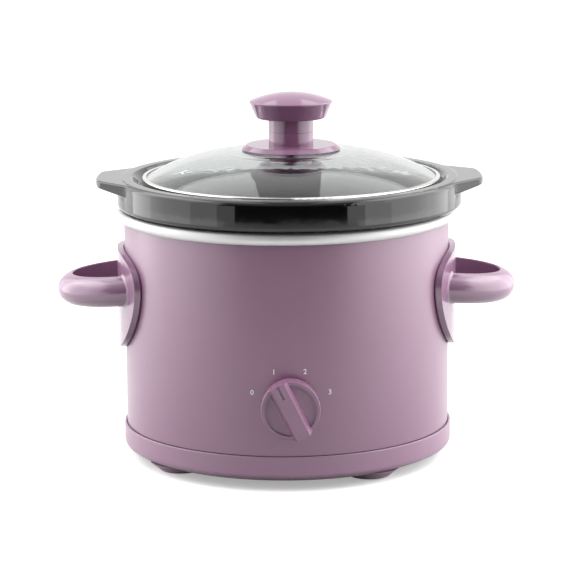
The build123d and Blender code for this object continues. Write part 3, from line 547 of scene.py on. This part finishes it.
# %% Black moulded nylon
black_nylon, tree, shader = new_material("moulded_nylon_black", IOR=1.53)
vary(
    tree, shader, colours=("#1b1b1c", "#232324"), roughness=(0.4, 0.5), cloud_mm=4,
    relief_mm=0.01, relief_spacing_mm=0.8,
)
dress(black_nylon, "rotary_switch", "cord_gland")

# %% [markdown]
# ## Pad-printed ink
# The marks round the dial are pad-printed: a soft pad picks up pale ink and presses it on the paint.
# The ink dries to a thin, nearly white film that is duller than the paint under it. It is a
# material of its own, because it lies on the paint as a film of its own.

# %% Pad-printed ink
ink, tree, shader = new_material("pad_printed_ink", IOR=1.5)
vary(
    tree, shader, colours=("#f4f0f3", "#fbf8fa"), roughness=(0.45, 0.55), cloud_mm=2,
    relief_mm=0.004, relief_spacing_mm=0.4,
)
print("ink for the marks:", ink.name)

# %% [markdown]
# ## Printed marks
# Four small marks stand round the dial, plain numbers for its four positions. A picture on the
# paint could carry them, but real outlines stay sharp at any distance. Each number starts as a text
# curve, is turned to a mesh, and is bent round the casing: its width becomes an angle about the
# pot's axis. The ink stands a few hundredths of a millimetre proud, so that it lies on the paint and
# not in it.

# %% Printed marks
MARK_PLACES_MM = {"0": (-21.0, 7.7), "1": (-9.0, 19.5), "2": (8.2, 19.6), "3": (21.9, 7.6)}
MARK_HEIGHT = 2.9 * MM
DIGIT_SHARE = 0.73      # how tall a digit of this font is, as a share of its size
INK_FILM = 0.03 * MM
INK_LIFT = 0.04 * MM
STROKE_EXTRA = 0.06 * MM    # the ink spreads this far past the edge of each stroke
shell_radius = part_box("outer_shell")[1].x
dial_low, dial_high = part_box("control_knob")
dial_height = (dial_low.z + dial_high.z) / 2


def printed_mark(text, across, up):
    """A number printed on the round casing, its middle across and up from the dial's centre."""
    curve = bpy.data.curves.new("mark_curve", "FONT")
    curve.body = text
    curve.size = MARK_HEIGHT / DIGIT_SHARE
    curve.extrude = INK_FILM
    curve.offset = STROKE_EXTRA
    curve.align_x = "CENTER"
    curve.align_y = "CENTER"
    carrier = bpy.data.objects.new("mark_carrier", curve)
    mesh = bpy.data.meshes.new_from_object(carrier)
    bpy.data.objects.remove(carrier)
    middle = math.asin(across / shell_radius)
    for vertex in mesh.vertices:
        turn = middle + vertex.co.x / shell_radius
        reach = shell_radius + INK_LIFT + vertex.co.z
        height = dial_height + up + vertex.co.y
        vertex.co = (reach * math.sin(turn), -reach * math.cos(turn), height)
    mesh.materials.clear()
    mesh.materials.append(ink)
    mark = bpy.data.objects.new("printed_mark_" + text, mesh)
    scene.collection.objects.link(mark)
    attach(mark, "root")


for text, (across, up) in MARK_PLACES_MM.items():
    printed_mark(text, across * MM, up * MM)
print("printed marks:", len(MARK_PLACES_MM), "round a dial at", round(dial_height / MM, 1), "mm")

# %% [markdown]
# ## The table
# The cooker stands on a plain white table that is lit until it turns white in the picture, apart
# from the soft shadow where the base meets it. For the camera alone the table glows a little, and
# for light that bounces off it the table is grey. So it looks white without washing out the lower
# half of the casing, as on a real set, where black card masks the table outside the picture. It is
# a disc and not an endless plane: beyond its edge a glossy piece sees the studio.

# %% Table
TABLE_RADIUS = 0.97
TABLE_SIDES = 128
TABLE_GLOW = 0.35
turns = [2 * math.pi * index / TABLE_SIDES for index in range(TABLE_SIDES)]
rim = [(TABLE_RADIUS * math.cos(turn), TABLE_RADIUS * math.sin(turn), 0.0) for turn in turns]
table_mesh = bpy.data.meshes.new("table")
table_mesh.from_pydata(rim, [], [list(range(TABLE_SIDES))])
table = bpy.data.objects.new("table", table_mesh)
scene.collection.objects.link(table)

table_white, tree, shader = new_material("white_table", Roughness=0.9)
shader.inputs["Emission Color"].default_value = linear("#ffffff")
path = add_node(tree, "ShaderNodeLightPath", {})
white = add_node(
    tree, "ShaderNodeMix",
    {MIX_FACTOR: path.outputs["Is Diffuse Ray"], MIX_A: linear("#e8e8e8"),
     MIX_B: linear("#747474")},
    data_type="RGBA",
)
glow = add_node(
    tree, "ShaderNodeMath", {0: path.outputs["Is Camera Ray"], 1: TABLE_GLOW},
    operation="MULTIPLY",
)
tree.links.new(white.outputs[MIX_COLOUR], shader.inputs["Base Color"])
tree.links.new(glow.outputs["Value"], shader.inputs["Emission Strength"])
table_mesh.materials.append(table_white)
print("table radius in m:", TABLE_RADIUS)

# %% [markdown]
# ## A light panel
# Each light is a soft box, as a photographer uses it. In Blender that is an area light, which also
# shows as a soft rectangle in the glossy pieces. A glowing sheet would do the same, but an area light
# gives less grain. Its power is worked out from how bright its face should look.

# %% A light panel
def soft_box(name, place, facing, width, height, brightness):
    """A rectangular light that faces a direction. The camera itself doesn't see it."""
    data = bpy.data.lights.new(name, "AREA")
    data.shape = "RECTANGLE"
    data.size = width
    data.size_y = height
    data.energy = brightness * math.pi * width * height
    light = bpy.data.objects.new(name, data)
    light.location = place
    light.rotation_euler = Vector(facing).to_track_quat("-Z", "Y").to_euler()
    light.visible_camera = False
    scene.collection.objects.link(light)


print("watts for one square metre at a brightness of 1:", round(math.pi, 2))

# %% [markdown]
# ## Lights at the sides
# Five light panels stand in a row at each side: a low dim one in front, three tall ones that are
# brightest beside the cooker and just behind it, and a dim one at the rear. They make the flanks of
# the casing pale and leave its middle darker. Nothing stands across the front, which shows as the
# black field in the middle of the crock's band. One big light with a gradient would look the same
# in the paint, but panels can be set one by one.

# %% Lights at the sides
SIDES = {"left": -1, "right": 1}
SIDE_OUT = 0.64         # how far the side panels stand from the cooker's axis
PANELS = {              # from and to along Y, low and high, then brightness on the left and right
    "front": (-0.90, -0.60, -0.3, 0.3, 1.15, 1.6),
    "forward": (-0.60, -0.30, 0.0, 0.9, 1.9, 2.7),
    "middle": (-0.30, 0.10, 0.0, 1.25, 2.6, 3.4),
    "rearward": (0.10, 0.40, 0.0, 1.25, 3.3, 3.0),
    "rear": (0.40, 0.90, 0.0, 1.25, 1.2, 1.5),
}
for name, (start, end, low, high, *brightness) in PANELS.items():
    for (side, sign), bright in zip(SIDES.items(), brightness):
        place = (sign * SIDE_OUT, (start + end) / 2, (low + high) / 2)
        soft_box(name + "_panel_" + side, place, (-sign, 0, 0), end - start, high - low, bright)
print("side panels:", len(SIDES) * len(PANELS))

# %% [markdown]
# ## Lights overhead
# Two more panels hang overhead, with a darker strip between them. The lid's dome mirrors the three
# as broad soft fields, which is what makes clear glass show at all. A single panel would wash over
# the whole dome.

# %% Lights overhead
TOP_OUT = 0.93          # the middle of an overhead panel, out from the cooker's axis
TOP_BACK = 0.50         # and towards the back
TOP_HEIGHT = 1.30
TOP_WIDTH = 1.5
TOP_LENGTH = 1.8
TOP_BRIGHTNESS = 1.25
for side, sign in SIDES.items():
    place = (sign * TOP_OUT, TOP_BACK, TOP_HEIGHT)
    soft_box("top_panel_" + side, place, (0, 0, -1), TOP_WIDTH, TOP_LENGTH, TOP_BRIGHTNESS)

# %% [markdown]
# ## The studio round the table
# Beyond the lights the studio is white behind the cooker, greyer above it, and dim in front of it,
# where the camera stands. A world shader can say that by direction alone: one ramp brightens it
# towards the back and another towards the ceiling, and the brighter of the two counts. A closed
# room would do the same with walls, but takes longer to render.

# %% Studio surround
DIM = 0.02
BACK = 1.25
CEILING = 0.7
RAMPS = {"Y": (-0.1, 0.6, BACK), "Z": (0.3, 0.9, CEILING)}    # start, end, and brightness at the end
world = bpy.data.worlds.new("studio")
scene.world = world
world.use_nodes = True
tree = world.node_tree
tree.nodes.clear()
place = add_node(tree, "ShaderNodeTexCoord", {})
parts = add_node(tree, "ShaderNodeSeparateXYZ", {"Vector": place.outputs["Generated"]})
back, ceiling = [
    add_node(
        tree, "ShaderNodeMapRange",
        {"Value": parts.outputs[axis], "From Min": start, "From Max": end, "To Min": DIM,
         "To Max": bright},
        interpolation_type="SMOOTHSTEP",
    ).outputs["Result"]
    for axis, (start, end, bright) in RAMPS.items()
]
both = add_node(tree, "ShaderNodeMath", {0: back, 1: ceiling}, operation="MAXIMUM")
print("studio brightness from", DIM, "in front to", BACK, "behind")

# %% [markdown]
# ## The background in the picture
# The camera itself sees plain white, as in the photograph, so every ray that comes straight from it
# gets full brightness. Through the lid the surround is dimmer, so that the glass stands out grey
# against the white. A white card behind the cooker would be the usual way, but its edge would show
# in the glossy pieces.

# %% White background
PLAIN_WHITE = 1.0
THROUGH_GLASS = 0.6
path = add_node(tree, "ShaderNodeLightPath", {})
seen = add_node(
    tree, "ShaderNodeMath", {0: path.outputs["Is Camera Ray"], 1: both.outputs["Value"]},
    operation="MAXIMUM",
)
through = add_node(
    tree, "ShaderNodeMapRange",
    {"Value": path.outputs["Is Transmission Ray"], "To Min": PLAIN_WHITE,
     "To Max": THROUGH_GLASS},
)
level = add_node(
    tree, "ShaderNodeMath", {0: seen.outputs["Value"], 1: through.outputs["Result"]},
    operation="MULTIPLY",
)
sky = add_node(tree, "ShaderNodeBackground", {"Strength": level.outputs["Value"]})
sky.inputs["Color"].default_value = linear("#ffffff")
add_node(tree, "ShaderNodeOutputWorld", {"Surface": sky.outputs["Background"]})
print("surround seen through the glass:", THROUGH_GLASS)
